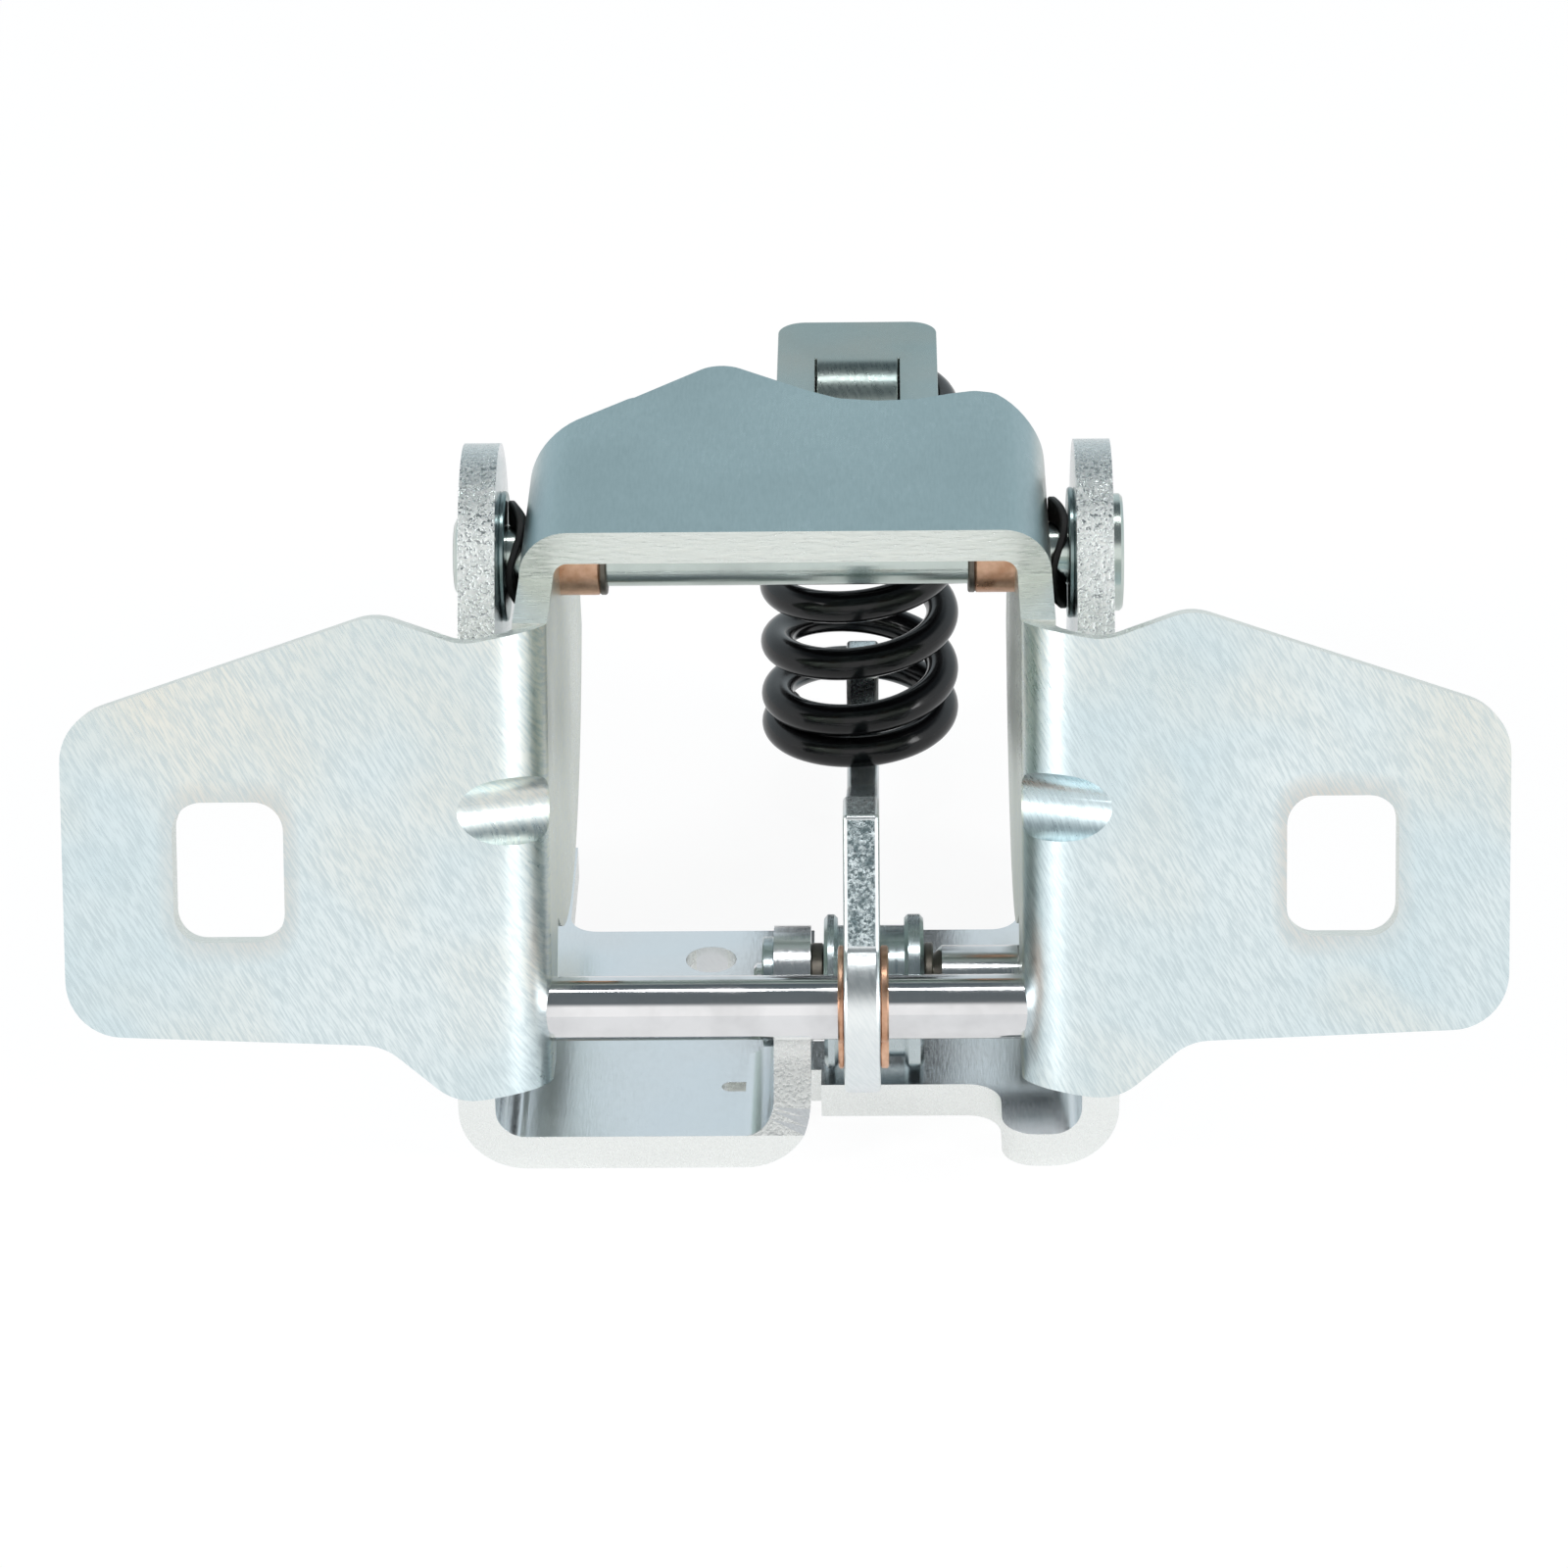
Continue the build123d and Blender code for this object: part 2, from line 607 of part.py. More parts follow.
# Spring seat: a strip under the roof, stepped down and turned down into the spring as a tongue
with BuildPart() as seat:
    with BuildSketch(Plane.YZ.offset(spring_x - seat_width / 2)):
        with BuildLine():
            Polyline(
                (seat_front, roof_under),
                (seat_step_y - seat_slope, roof_under),
                (seat_step_y, seat_top),
                (seat_rear, seat_top),
                (seat_rear, seat_under),
                (seat_step_y - seat_lead, seat_under),
                (seat_step_y - seat_slope - seat_lead, roof_under - seat_sheet),
                (seat_front, roof_under - seat_sheet),
                close=True,
            )
        make_face()
    extrude(amount=seat_width)
    fillet(seat.edges().filter_by(Axis.Z).group_by(Axis.Y)[-1], seat_corner)
    # Window that the tongue was pressed out of
    with BuildSketch(Plane.XY.offset(seat_under - 1)):
        with Locations((spring_x, tongue_root)):
            Rectangle(tongue_width + 2 * tongue_gap, tongue_window, align=(Align.CENTER, Align.MAX))
    extrude(amount=seat_sheet + 2, mode=Mode.SUBTRACT)
    with BuildSketch(Plane.YZ.offset(spring_x - tongue_width / 2)):
        tongue_front = tongue_root - tongue_bend - seat_sheet
        tongue_back = tongue_root - tongue_bend
        bend_low = seat_under - tongue_bend
        tip = seat_under - tongue_drop
        with BuildLine():
            outer_bend = RadiusArc(
                (tongue_root, seat_top), (tongue_front, bend_low), -(tongue_bend + seat_sheet)
            )
            Polyline(outer_bend @ 1, (tongue_front, tip), (tongue_back, tip), (tongue_back, bend_low))
            inner_bend = RadiusArc((tongue_back, bend_low), (tongue_root, seat_under), tongue_bend)
            Polyline(
                inner_bend @ 1,
                (tongue_root + tongue_overlap, seat_under),
                (tongue_root + tongue_overlap, seat_top),
                outer_bend @ 0,
            )
        make_face()
    extrude(amount=tongue_width)
seat.part.label = "spring_seat"

os.makedirs("parts", exist_ok=True)
pieces = [channel, hinge_pin, winged_leaf, cross_pin, check_arm, arm_bush, roller, axle, spring, seat]
for piece in pieces + turned:
    export_step(piece.part, f"parts/{piece.part.label}.step")
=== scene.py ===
import json
import math
from contextlib import contextmanager

import bmesh
import bpy
import numpy as np
from mathutils import Matrix, Vector
from mathutils.bvhtree import BVHTree


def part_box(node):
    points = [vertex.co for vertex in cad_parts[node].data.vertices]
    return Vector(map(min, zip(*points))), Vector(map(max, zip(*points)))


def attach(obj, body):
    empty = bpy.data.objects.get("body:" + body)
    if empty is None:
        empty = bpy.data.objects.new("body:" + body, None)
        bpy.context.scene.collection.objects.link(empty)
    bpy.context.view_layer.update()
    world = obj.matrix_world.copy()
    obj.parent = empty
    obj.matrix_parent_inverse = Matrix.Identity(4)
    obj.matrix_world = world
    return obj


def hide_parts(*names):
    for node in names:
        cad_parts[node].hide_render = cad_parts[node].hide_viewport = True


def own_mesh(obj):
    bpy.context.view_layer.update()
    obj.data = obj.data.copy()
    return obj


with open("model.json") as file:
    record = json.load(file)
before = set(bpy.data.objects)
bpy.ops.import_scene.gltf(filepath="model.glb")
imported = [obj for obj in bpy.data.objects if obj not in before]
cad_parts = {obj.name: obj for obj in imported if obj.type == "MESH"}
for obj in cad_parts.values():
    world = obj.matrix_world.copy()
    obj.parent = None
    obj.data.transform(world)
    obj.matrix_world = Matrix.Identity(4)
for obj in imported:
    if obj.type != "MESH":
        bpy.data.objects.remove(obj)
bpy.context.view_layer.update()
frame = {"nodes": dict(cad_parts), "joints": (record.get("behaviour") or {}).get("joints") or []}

# Winged leaf. One hat-shaped stamping of 4.6 mm steel, blanked, bent over the hinge pin and down
# into two cheeks, then out again into two wings. It is zinc plated after pressing, so its faces
# carry the grain of the rolled sheet and its cut edges the rougher break of the blanking die.


class Field:
    """A shader socket that takes part in arithmetic: each operator adds one Math node."""

    def __init__(self, nodes, socket):
        self.nodes = nodes
        self.socket = socket

    def _with(self, operation, *values):
        return self.nodes.node("ShaderNodeMath", {"operation": operation}, dict(enumerate(values)))

    def __add__(self, other):
        return self._with("ADD", self, other)

    __radd__ = __add__

    def __mul__(self, other):
        return self._with("MULTIPLY", self, other)

    __rmul__ = __mul__

    def __sub__(self, other):
        return self._with("SUBTRACT", self, other)

    def __rsub__(self, other):
        return self._with("SUBTRACT", other, self)

    def __pow__(self, other):
        return self._with("POWER", self, other)

    def __abs__(self):
        return self._with("ABSOLUTE", self)


class Nodes:
    """The node tree of a material or of the world, while it is being filled."""

    def __init__(self, owner):
        owner.use_nodes = True
        self.tree = owner.node_tree

    def node(self, kind, settings, sockets, output=0):
        """Adds a node, sets it, feeds its sockets and returns one of its outputs."""
        made = self.tree.nodes.new(kind)
        for key, value in settings.items():
            if key == "stops":
                for element, (position, colour) in zip(made.color_ramp.elements, value):
                    element.position = position
                    element.color = colour
            else:
                setattr(made, key, value)
        for key, value in sockets.items():
            if isinstance(value, Field):
                self.tree.links.new(value.socket, made.inputs[key])
            else:
                made.inputs[key].default_value = value
        return Field(self, made.outputs[output])

    def show(self, surface, output, stock):
        """Puts a surface on the tree's output, in place of the stock shader."""
        self.tree.nodes.remove(self.tree.nodes[stock])
        self.tree.links.new(surface.socket, self.tree.nodes[output].inputs["Surface"])


class Paint(Nodes):
    """One finish: a Principled shader, fed by patterns on the piece's own Object coordinates."""

    def __init__(self, name, **settings):
        self.material = bpy.data.materials.new(name)
        super().__init__(self.material)
        self.shader = self.tree.nodes["Principled BSDF"]
        for socket, value in settings.items():
            self.shader.inputs[socket].default_value = value
        self.place = self.node("ShaderNodeTexCoord", {}, {}, "Object")

    def along(self, axis):
        """How far along an axis a point lies, in metres."""
        return self.node("ShaderNodeSeparateXYZ", {}, {"Vector": self.place}, axis)

    def rise(self, value, none, full):
        """Share that goes evenly from 0, where a value is none, to 1, where it is full."""
        sockets = {"Value": value, "From Min": none, "From Max": full}
        return self.node("ShaderNodeMapRange", {"clamp": True}, sockets)

    def noise(self, scale, detail=3.0, rough=0.55, at=None):
        """Cloudy value round 0.5, with features about 1 / scale metres across."""
        sockets = {"Vector": at or self.place, "Scale": scale, "Detail": detail, "Roughness": rough}
        return self.node("ShaderNodeTexNoise", {}, sockets, "Fac")

    def stretched(self, turn, scale):
        """Object coordinates turned, then scaled apart, so that noise on them draws out into streaks."""
        turned = self.node("ShaderNodeMapping", {}, {"Vector": self.place, "Rotation": turn})
        return self.node("ShaderNodeMapping", {}, {"Vector": turned, "Scale": scale})

    def ramp(self, value, *stops):
        """Grey ramp: two pairs of place and level."""
        points = [(place, (level, level, level, 1)) for place, level in stops]
        return self.node("ShaderNodeValToRGB", {"stops": points}, {"Fac": value}, "Color")

    def mix(self, share, first, second):
        """Colour between two colours."""
        settings = {"data_type": "RGBA", "clamp_factor": True}
        return self.node("ShaderNodeMix", settings, {0: share, 6: first, 7: second}, 2)

    def feed(self, **links):
        """Links each field to the shader's socket of its name."""
        for socket, field in links.items():
            self.tree.links.new(field.socket, self.shader.inputs[socket.replace("_", " ")])

    def mottle(self, spots, dark, light, rough, uneven):
        """Feeds a colour from dark to light as the spots go, and a roughness that grows with them."""
        self.feed(Base_Color=self.mix(spots, dark, light), Roughness=rough + uneven * spots)

    def bump(self, height, strength, distance):
        """Feeds the shader small relief."""
        sockets = {"Height": height, "Strength": strength, "Distance": distance}
        self.feed(Normal=self.node("ShaderNodeBump", {}, sockets, "Normal"))


def shade(colour, share):
    """A colour taken down to a share of its brightness."""
    return tuple(share * part for part in colour[:3]) + (1.0,)


def zinc(name, pale, deep, warm, rough, streak, crown=None, rims=None, inner=None):
    """Zinc plate over rolled sheet: cloudy tone, faint warm passivate bloom and drawn-out grain.
    A crown is a height above which the roof gets a darker, bluer tone, and that tone: a painted
    reflection of the dark ceiling that the roof mirrors. Rims are the two holes, at x on either side
    and at z, with their half width and half height: the passivate browns a little round them. Inner is
    a distance from the middle, and a darker, warmer tone for the plate nearer than that."""
    paint = Paint(name, Metallic=1.0)
    clouds = paint.ramp(paint.noise(26.0, 4.0), (0.34, 0.0), (0.66, 1.0))
    drift = paint.stretched((0.3, 0.9, 0.1), (1.0, 1.6, 0.8))
    bloom = paint.ramp(paint.noise(17.0, 3.0, 0.6, drift), (0.43, 0.0), (0.66, 0.95))
    rolling = paint.stretched((0.0, -1.0, 0.0), (380.0, 420.0, 3800.0))
    grain = paint.noise(1.0, 4.0, 0.6, rolling)
    speck = paint.noise(1500.0, 2.0)
    tone = paint.mix(clouds, deep, pale)
    tone = paint.mix(bloom, tone, warm)
    calm = 1.0
    if inner:
        # The plate nearer the middle than the given distance, on the cheeks' inner walls, takes a
        # darker, warmer tone
        half_gap, inside_tone = inner
        soft_line = 0.0003
        inside = paint.rise(abs(paint.along("X")), half_gap + soft_line, half_gap)
        tone = paint.mix(inside, tone, inside_tone)
    if rims:
        rim_x, rim_z, half_width, half_height = rims
        brown = (0.62, 0.50, 0.40, 1)
        beside = ((abs(paint.along("X")) - rim_x) * (1 / half_width)) ** 4.0
        over = ((paint.along("Z") - rim_z) * (1 / half_height)) ** 4.0
        near = paint.ramp((beside + over) * 0.25, (0.25, 1.0), (0.75, 0.0))
        tone = paint.mix(near * clouds * 0.5, tone, brown)
    # Painted reflection: the roof above the crown height is painted darker and bluer, for the dark
    # ceiling it mirrors
    if crown:
        height, painted_roof_reflection = crown
        bend = 0.006
        # The wing tips reach as high as the roof, and keep the wings' tone
        wing_tips, roof_front = -0.030, -0.020
        above = paint.rise(paint.along("Z"), height, height + bend)
        above = above * paint.rise(paint.along("Y"), wing_tips, roof_front)
        tone = paint.mix(above * 0.95, tone, painted_roof_reflection)
        calm = 1.0 - 0.85 * above
    worn = paint.ramp(grain, (0.40, 0.0), (0.58, 1.0))
    tone = paint.mix((1.0 - worn) * streak * calm, tone, shade(deep, 0.80))
    paint.feed(Base_Color=tone)
    paint.feed(Roughness=rough + 0.10 * clouds + 0.20 * (grain - 0.5) + 0.10 * (speck - 0.5))
    paint.bump((grain * 0.7 + speck * 0.3) * calm, 0.10 + 0.12 * streak, 0.00012)
    return paint.material


def cut_edge(name, pale, deep, rough, torn, stretch=(1.0, 1.0, 1.0), tear_and_shade_above=0.0, above=0.02):
    """Blanked edge under plate: small torn specks, as strong as torn says, drawn out by a stretch.
    Above a height, a second share of the deep tone is added: painted shade on the arm's upper edge, and
    darker edges higher up on the channel."""
    paint = Paint(name, Metallic=1.0)
    drawn = paint.stretched((0.0, 0.0, 0.0), stretch)
    tear = paint.noise(700.0, 4.0, 0.65, drawn)
    specks = paint.ramp(paint.noise(2100.0, 3.0, 0.6, drawn), (0.40, 0.0), (0.62, 1.0))
    worn = paint.ramp(tear, (0.34, 0.0), (0.58, 1.0))
    soft_line = 0.01
    share = torn + tear_and_shade_above * paint.rise(paint.along("Z"), above, above + soft_line)
    paint.feed(Base_Color=paint.mix(1.0 - share * (1.0 - worn * specks), deep, pale))
    paint.feed(Roughness=rough + 0.16 * (specks - 0.5) + 0.10 * (tear - 0.5))
    paint.bump((tear + specks * 0.5) * (0.06 + share), 0.7, 0.0003)
    return paint.material


@contextmanager
def forming(mesh):
    """A mesh opened for the forming tools, and written back when they are done."""
    form = bmesh.new()
    form.from_mesh(mesh)
    yield form
    form.to_mesh(mesh)
    form.free()


def crease(mesh, degrees):
    """Shades a mesh smooth, apart from its edges that turn by more than an angle."""
    with forming(mesh) as form:
        for face in form.faces:
            face.smooth = True
        for edge in form.edges:
            sharp = len(edge.link_faces) != 2 or edge.calc_face_angle(0.0) >= math.radians(degrees)
            edge.smooth = not sharp


def keep(name, mesh, body, node, slot, *materials):
    """Links a finished piece, which stands for its CAD node and rides on that node's body."""
    piece = bpy.data.objects.new(name, mesh)
    bpy.context.scene.collection.objects.link(piece)
    for material in materials:
        mesh.materials.append(material)
    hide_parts(node)
    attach(piece, body)
    return piece


def pressed(name, node, body, slot, sheet, edge, finishes, slices=(), reshape=None, plain=None):
    """Sheet-metal piece with broken edges: the CAD form, its flats joined and its sharp edges
    bevelled. A face is a cut edge where the way through the metal isn't one sheet thick, apart from
    those that plain picks. Slices are places along X where the form gets an extra row of points,
    and reshape moves the points."""
    weld = 1e-6
    on_plane = 1e-7
    mesh = frame["nodes"][node].data.copy()
    mesh.materials.clear()
    mesh.name = name
    with forming(mesh) as form:
        bmesh.ops.remove_doubles(form, verts=form.verts, dist=weld)
        for x in slices:
            geometry = form.verts[:] + form.edges[:] + form.faces[:]
            bmesh.ops.bisect_plane(
                form, geom=geometry, plane_co=(x, 0, 0), plane_no=(1, 0, 0), dist=on_plane
            )
    if reshape:
        places = np.empty(3 * len(mesh.vertices))
        mesh.vertices.foreach_get("co", places)
        mesh.vertices.foreach_set("co", reshape(places.reshape(-1, 3)).ravel())
    # The ray that measures the metal starts just under the face. Where a face leans against the
    # plate, as at the bends, the way through is longer than the sheet by up to the slanting share.
    under_face = 1e-5
    ray_length = 0.03
    slanting = 1.45
    flat_turn = math.radians(0.4)
    with forming(mesh) as form:
        bmesh.ops.remove_doubles(form, verts=form.verts, dist=2 * weld)
        bmesh.ops.dissolve_degenerate(form, edges=form.edges, dist=2 * weld)
        tree = BVHTree.FromBMesh(form)
        for face in form.faces:
            centre = face.calc_center_median()
            inward = -face.normal
            depth = tree.ray_cast(centre + inward * under_face, inward, ray_length)[3]
            plate = depth and depth < slanting * sheet or plain and plain(centre)
            face.material_index = 0 if plate else 1
        bmesh.ops.dissolve_limit(
            form, angle_limit=flat_turn, verts=form.verts, edges=form.edges, delimit={"MATERIAL"}
        )
    crease(mesh, 30)
    piece = keep(name, mesh, body, node, slot, *finishes)
    bevel = piece.modifiers.new("broken edges", "BEVEL")
    bevel.width = edge
    bevel.segments = 3
    bevel.limit_method = "ANGLE"
    bevel.angle_limit = math.radians(40)
    bevel.use_clamp_overlap = True
    bevel.harden_normals = True
    bevel.material = 0


def smoothed(values, places):
    """Each value averaged with its neighbours, over an odd number of places, under a bell."""
    bell = np.hanning(places)
    return np.convolve(np.pad(values, places // 2, mode="edge"), bell / bell.sum(), mode="valid")


# The roof's rear edge rises from the left side to a peak, dips for the spring seat and rises again
# to a low hump before the right side: places (x, y) of its corners, rounded off by about 1 mm
rear_corners = np.array(
    [
        (-0.0380, 0.0080),
        (-0.0345, 0.0132),
        (-0.0100, 0.0380),
        (0.0025, 0.0278),
        (0.0070, 0.0249),
        (0.0125, 0.0240),
        (0.0180, 0.0244),
        (0.0225, 0.0262),
        (0.0262, 0.0272),
        (0.0290, 0.0264),
        (0.0380, 0.0150),
    ]
)
rear_x = np.arange(-0.038, 0.0381, 0.0002)
rear_y = smoothed(np.interp(rear_x, *rear_corners.T), 13)
# Only the roof lies above this height and behind the pin
roof_zone = 0.0712


def trim_roof(places):
    """Every point of the roof behind the rear edge moves forward to it: y is the smaller of its own
    and the edge's at that x."""
    limit = np.interp(places[:, 0], rear_x, rear_y)
    on_roof = (places[:, 2] > roof_zone) & (places[:, 1] > 0.0)
    places[:, 1] = np.where(on_roof, np.minimum(places[:, 1], limit), places[:, 1])
    return places


# The dimples lie where cheek turns into wing: how far out to either side, how high and how far back
dimple_sides = (0.029, 0.050)
dimple_heights = (0.044, 0.062)
dimple_back = -0.035


def on_dimple(centre):
    """Whether a place is on one of the two stiffening dimples, where the plate isn't cut."""
    beside = dimple_sides[0] < abs(centre.x) < dimple_sides[1]
    return beside and dimple_heights[0] < centre.z < dimple_heights[1] and centre.y < dimple_back


leaf_finish = zinc(
    "zinc on the winged leaf",
    pale=(0.82, 0.90, 0.91, 1),
    deep=(0.66, 0.79, 0.83, 1),
    warm=(0.90, 0.84, 0.72, 1),
    rough=0.27,
    streak=0.60,
    # Crown tone: a painted reflection that darkens the roof above 70.5 mm
    crown=(0.0705, (0.375, 0.505, 0.53, 1)),
    rims=(0.0729, 0.0461, 0.0073, 0.0090),
    inner=(0.0313, (0.74, 0.79, 0.68, 1)),
)
leaf_edge = cut_edge(
    "blanked edge of the leaf",
    pale=(0.86, 0.89, 0.84, 1),
    deep=(0.66, 0.73, 0.70, 1),
    rough=0.34,
    torn=0.25,
    stretch=(0.16, 1.0, 1.0),
)
pressed(
    "winged_leaf_plate", "winged_leaf", "winged_leaf", "zinc_leaf",
    sheet=0.0046,
    edge=0.0007,
    finishes=(leaf_finish, leaf_edge),
    slices=np.arange(-0.0365, 0.0366, 0.001),
    reshape=trim_roof,
    plain=on_dimple,
)

# Channel leaf. A U-shaped pressing of 5 mm steel with two ears for the hinge pin, a notched floor
# that bolts to the door, and a lug folded up beside the roller. Its plate is smoother than the
# winged leaf's and shows hardly any grain.
channel_finish = zinc(
    "zinc on the channel leaf",
    pale=(0.95, 0.97, 0.98, 1),
    deep=(0.84, 0.88, 0.91, 1),
    warm=(0.90, 0.88, 0.88, 1),
    rough=0.15,
    streak=0.12,
)
channel_edge = cut_edge(
    "blanked edge of the channel",
    pale=(0.95, 0.97, 0.95, 1),
    deep=(0.60, 0.66, 0.66, 1),
    rough=0.30,
    torn=0.05,
    tear_and_shade_above=0.45,
    above=0.03,
)
pressed(
    "channel_leaf_plate", "channel_leaf", "channel", "zinc_channel",
    sheet=0.005,
    edge=0.0014,
    finishes=(channel_finish, channel_edge),
)

# Check arm. A flat plate, fine-blanked, whose lower edge is the cam that the roller runs on. Only
# its edge faces the front, so the torn streaks of the blanking show along it.
arm_finish = zinc(
    "zinc on the check arm",
    pale=(0.93, 0.96, 0.97, 1),
    deep=(0.80, 0.89, 0.92, 1),
    warm=(0.92, 0.92, 0.88, 1),
    rough=0.26,
    streak=0.25,
)
arm_edge = cut_edge(
    "blanked edge of the arm, painted shade above",
    pale=(0.74, 0.82, 0.84, 1),
    deep=(0.10, 0.14, 0.15, 1),
    rough=0.24,
    torn=0.05,
    # Above 26 mm the edge is painted nearly black: painted shade and painted reflection of the black
    # spring
    tear_and_shade_above=0.92,
    above=0.026,
)
pressed(
    "check_arm_plate", "check_arm", "check_arm", "zinc_arm",
    sheet=0.0048,
    edge=0.0006,
    finishes=(arm_finish, arm_edge),
)

# Spring seat. A 3 mm strip welded under the roof, with a tongue pressed down into the spring. It is
# plated with the leaf, and its finish is painted much darker, as painted shade under the roof.
seat_zinc_in_painted_shade = zinc(
    "zinc on the spring seat in painted shade",
    pale=(0.38, 0.49, 0.49, 1),
    deep=(0.29, 0.40, 0.40, 1),
    warm=(0.44, 0.46, 0.42, 1),
    rough=0.24,
    streak=0.15,
)
pressed(
    "spring_seat_plate", "spring_seat", "winged_leaf", "zinc_leaf",
    sheet=0.003,
    edge=0.0009,
    finishes=(seat_zinc_in_painted_shade, leaf_edge),
)

# Hinge pin. A steel bar, 8.4 mm thick and darker in tone than the cross pin, that the winged leaf
# swings on. It is turned in the lathe, as are the pieces after it, then headed on the right and riveted
# over on the left.


def skin(name, points, closed, crease_at):
    """Mesh over a grid of points: each row runs round and joins its own start, each row joins the
    next, and where the grid is closed the last row joins the first. Points that meet are merged."""
    rows, columns = points.shape[:2]
    joined = rows if closed else rows - 1
    row, column = np.meshgrid(np.arange(joined), np.arange(columns), indexing="ij")
    onward = (row + 1) % rows
    aside = (column + 1) % columns
    corners = np.stack(
        [
            row * columns + column,
            onward * columns + column,
            onward * columns + aside,
            row * columns + aside,
        ],
        axis=-1,
    )
    mesh = bpy.data.meshes.new(name)
    mesh.from_pydata(points.reshape(-1, 3).tolist(), [], corners.reshape(-1, 4).tolist())
    weld = 1e-7
    with forming(mesh) as form:
        bmesh.ops.remove_doubles(form, verts=form.verts, dist=weld)
        bmesh.ops.dissolve_degenerate(form, edges=form.edges, dist=weld)
        bmesh.ops.recalc_face_normals(form, faces=form.faces)
    crease(mesh, crease_at)
    return mesh


def lathe(name, node, body, slot, finish, outline, wave=0.0, dent=None):
    """Surface of revolution about the node's own axis, which runs along X through the middle of its
    box: point (x, r) of the closed outline goes to x + wave cos 3a, y + r cos a, z + r sin a. A dent
    is an angle, a width, a depth and a radius: past that radius, r is less by depth times a bell of
    that width round the angle."""
    low, high = (np.array(corner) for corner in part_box(node))
    centre = (low + high) / 2
    turn = np.linspace(0.0, 2 * np.pi, 128, endpoint=False)
    along, radius = np.array(outline, float).T[:, :, None]
    across = radius * np.ones_like(turn)
    if dent:
        angle, width, depth, past = dent
        off = np.angle(np.exp(1j * (turn - angle)))
        bell = depth * np.exp(-((off / width) ** 2))
        across = np.where(radius > past, np.maximum(across - bell, past), across)
    points = np.stack(
        [
            along + wave * np.cos(3 * turn) + 0 * across,
            centre[1] + across * np.cos(turn),
            centre[2] + across * np.sin(turn),
        ],
        axis=-1,
    )
    keep(name, skin(name, points, closed=True, crease_at=28), body, node, slot, finish)


def bright_steel(name, tone, rough, ring=0.06):
    """Ground and plated bar: near-mirror, with fine rings left round it by the wheel."""
    paint = Paint(name, Metallic=1.0)
    rings = paint.noise(1.0, 3.0, 0.6, paint.stretched((0, 0, 0), (2400.0, 60.0, 60.0)))
    clouds = paint.ramp(paint.noise(120.0, 4.0), (0.4, 0.0), (0.7, 1.0))
    paint.feed(Base_Color=paint.mix(clouds * 0.5, tone, shade(tone, 0.72)))
    paint.feed(Roughness=rough + 0.10 * clouds + ring * (rings - 0.5))
    paint.bump(rings, 0.08, 0.00005)
    return paint.material


def span(node):
    """Left end, right end and outer radius of a turned CAD node."""
    low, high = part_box(node)
    return low[0], high[0], (high[2] - low[2]) / 2


edge_break = 0.0004
left, right, head = span("hinge_pin")
shank = 0.0042
head_in = right - 0.0017
rivet_in = left + 0.0015
rivet = 0.0062
# The rivet is beaten round: how far in from its end, and how far under its full radius
rounded = [(0.0, 0.0016), (0.0006, 0.0004), (0.0011, 0.0)]
lathe(
    "hinge_pin_bar", "hinge_pin", "channel", "pin_steel",
    bright_steel("darker hinge pin steel", (0.62, 0.69, 0.65, 1), 0.16),
    [
        (left, 0.0),
        *((left + inward, rivet - under) for inward, under in rounded),
        (rivet_in, rivet),
        (rivet_in, shank),
        (head_in, shank),
        (head_in, head),
        (right - edge_break, head),
        (right, head - edge_break),
        (right, 0.0),
    ],
)

# Cross pin. A plain ground bar between the two cheeks, riveted flush into both, that the check arm
# turns on. Its plate is nearer to a mirror than the hinge pin's.
left, right, bar = span("cross_pin")
lathe(
    "cross_pin_bar", "cross_pin", "winged_leaf", "pin_steel",
    bright_steel("bright cross pin steel", (0.84, 0.84, 0.85, 1), 0.07),
    [
        (left, 0.0),
        (left, bar - edge_break),
        (left + edge_break, bar),
        (right - edge_break, bar),
        (right, bar - edge_break),
        (right, 0.0),
    ],
)

# Roller and its axle. The roller is a spool turned from bar, whose groove takes the arm's lower
# edge. The axle runs thin through lug and roller, steps up to a thick shoulder and is riveted over
# outside the right ear.
roller_finish = bright_steel("turned roller steel", (0.62, 0.70, 0.72, 1), 0.22, 0.2)
left, right, flange = span("roller")
core = 0.009
bore = 0.00395
groove = (left + 0.00185, right - 0.0026)
rim_in = 0.0005
rim_under = 0.0006
lathe(
    "roller_spool", "roller", "roller", "roller_steel", roller_finish,
    [
        (left, bore + edge_break),
        (left, flange - rim_under),
        (left + rim_in, flange),
        (groove[0] - rim_in, flange),
        (groove[0], flange - rim_in),
        (groove[0], core),
        (groove[1], core),
        (groove[1], flange - rim_in),
        (groove[1] + rim_in, flange),
        (right - rim_in, flange),
        (right, flange - rim_under),
        (right, bore + edge_break),
        (right - edge_break, bore),
        (left + edge_break, bore),
    ],
)
left, right, shoulder = span("roller_axle")
journal = 0.0039
shoulder_in = 0.0196
shoulder_break = 0.0012
ear_in = 0.0393
axle_rivet_in = right - 0.0015
axle_rivet_round = right - 0.0008
axle_rivet_face = 0.0052
lathe(
    "roller_axle_bar", "roller_axle", "channel", "pin_steel",
    bright_steel("bright pin steel", (0.80, 0.81, 0.82, 1), 0.10),
    [
        (left, 0.0),
        (left, journal - edge_break),
        (left + edge_break, journal),
        (shoulder_in, journal),
        (shoulder_in, shoulder - shoulder_break),
        (shoulder_in + shoulder_break, shoulder),
        (ear_in, shoulder),
        (ear_in, journal),
        (axle_rivet_in, journal),
        (axle_rivet_in, rivet),
        (axle_rivet_round, rivet),
        (right, axle_rivet_face),
        (right, 0.0),
    ],
)
